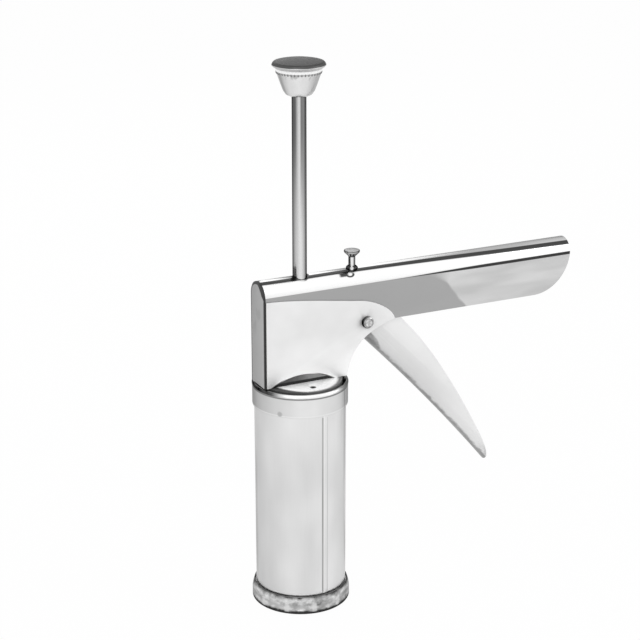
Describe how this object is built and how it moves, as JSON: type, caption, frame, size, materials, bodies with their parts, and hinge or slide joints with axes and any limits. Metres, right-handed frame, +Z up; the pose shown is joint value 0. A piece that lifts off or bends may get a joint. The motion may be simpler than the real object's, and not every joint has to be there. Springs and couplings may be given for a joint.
{
  "type": "sev press",
  "caption": "Hand lever press that pushes dough strands out of an upright steel barrel, with a plunger rod, squeeze trigger and die.",
  "frame": {"origin": "centre of the die mouth in the ring cap's lower face, on the barrel axis, which is the plane that the press stands on", "axes": "+Z up the barrel and the plunger rod, +X along the handle, +Y to the side, so that the pictured side faces -Y"},
  "size_m": [0.2015, 0.0566, 0.3166],
  "materials": {
    "satin_steel": "satin stainless sheet",
    "bright_steel": "polished stainless",
    "dark_steel": "plain spring and plate steel",
    "bush_brass": "turned brass",
    "seal_plastic": "pale food-grade plastic"
  },
  "bodies": {
    "barrel": {"barrel_tube": "satin_steel", "barrel_collar": "satin_steel", "thread_ring": "satin_steel"},
    "die": {"die_disc": "satin_steel"},
    "cap": {"ring_cap": "bright_steel"},
    "head": {"lid_plate": "bright_steel", "lid_bush": "bush_brass", "head_bracket": "dark_steel", "bracket_rivets": "satin_steel", "head_shell": "satin_steel", "handle_channel": "satin_steel", "guide_bridge": "dark_steel", "lock_hanger": "dark_steel", "pivot_pin": "bright_steel", "pivot_washer": "dark_steel", "pivot_clip": "dark_steel", "pin_eyelet": "dark_steel", "return_spring": "dark_steel", "lock_spring": "dark_steel"},
    "trigger": {"trigger": "satin_steel", "trigger_bush": "dark_steel", "push_pin": "dark_steel"},
    "drive": {"drive_plate": "dark_steel"},
    "lock": {"lock_plate": "dark_steel"},
    "release": {"release_pin": "bright_steel", "release_clip": "dark_steel"},
    "plunger": {"plunger_rod": "bright_steel", "piston_top": "satin_steel", "piston_seal": "seal_plastic", "piston_bottom": "satin_steel", "piston_nut": "bright_steel", "knob_bush": "dark_steel", "knob_cup": "bright_steel", "knob_crimp": "bright_steel", "knob_top": "bright_steel"}
  },
  "joints": [
    {"name": "head_twist", "type": "hinge", "parent": "barrel", "child": "head", "pos_m": [0, 0, 0.132], "axis": [0, 0, 1], "range_deg": [0, 52]},
    {"name": "cap_travel", "type": "slide", "parent": "barrel", "child": "die", "axis": [0, 0, -1], "range_m": [0, 0.006]},
    {"name": "cap_turn", "type": "hinge", "parent": "die", "child": "cap", "pos_m": [0, 0, 0.005], "axis": [0, 0, -1], "range_deg": [0, 720]},
    {"name": "trigger_squeeze", "type": "hinge", "parent": "head", "child": "trigger", "pos_m": [0.0375, 0, 0.1652], "axis": [0, -1, 0], "range_deg": [0, 30], "stiffness_Nm_per_rad": 0.3, "springref_deg": -28.65},
    {"name": "drive_slide", "type": "slide", "parent": "head", "child": "drive", "axis": [0, 0, -1], "range_m": [0, 0.013], "deforming": ["return_spring"]},
    {"name": "release_press", "type": "slide", "parent": "head", "child": "release", "axis": [0, 0, -1], "range_m": [0, 0.003], "stiffness_N_per_m": 500, "springref_m": -0.002},
    {"name": "lock_tilt", "type": "hinge", "parent": "head", "child": "lock", "pos_m": [-0.0154, 0, 0.187], "axis": [0, 1, 0], "range_deg": [0, 3.6]},
    {"name": "plunger_slide", "type": "slide", "parent": "head", "child": "plunger", "axis": [0, 0, -1], "range_m": [0, 0.1]}
  ],
  "couplings": [
    {"joint": "cap_travel", "follows": "cap_turn", "m_per_rad": 0.00047746},
    {"joint": "drive_slide", "follows": "trigger_squeeze", "m_per_rad": 0.02464},
    {"joint": "lock_tilt", "follows": "release_press", "rad_per_m": 20.88}
  ]
}
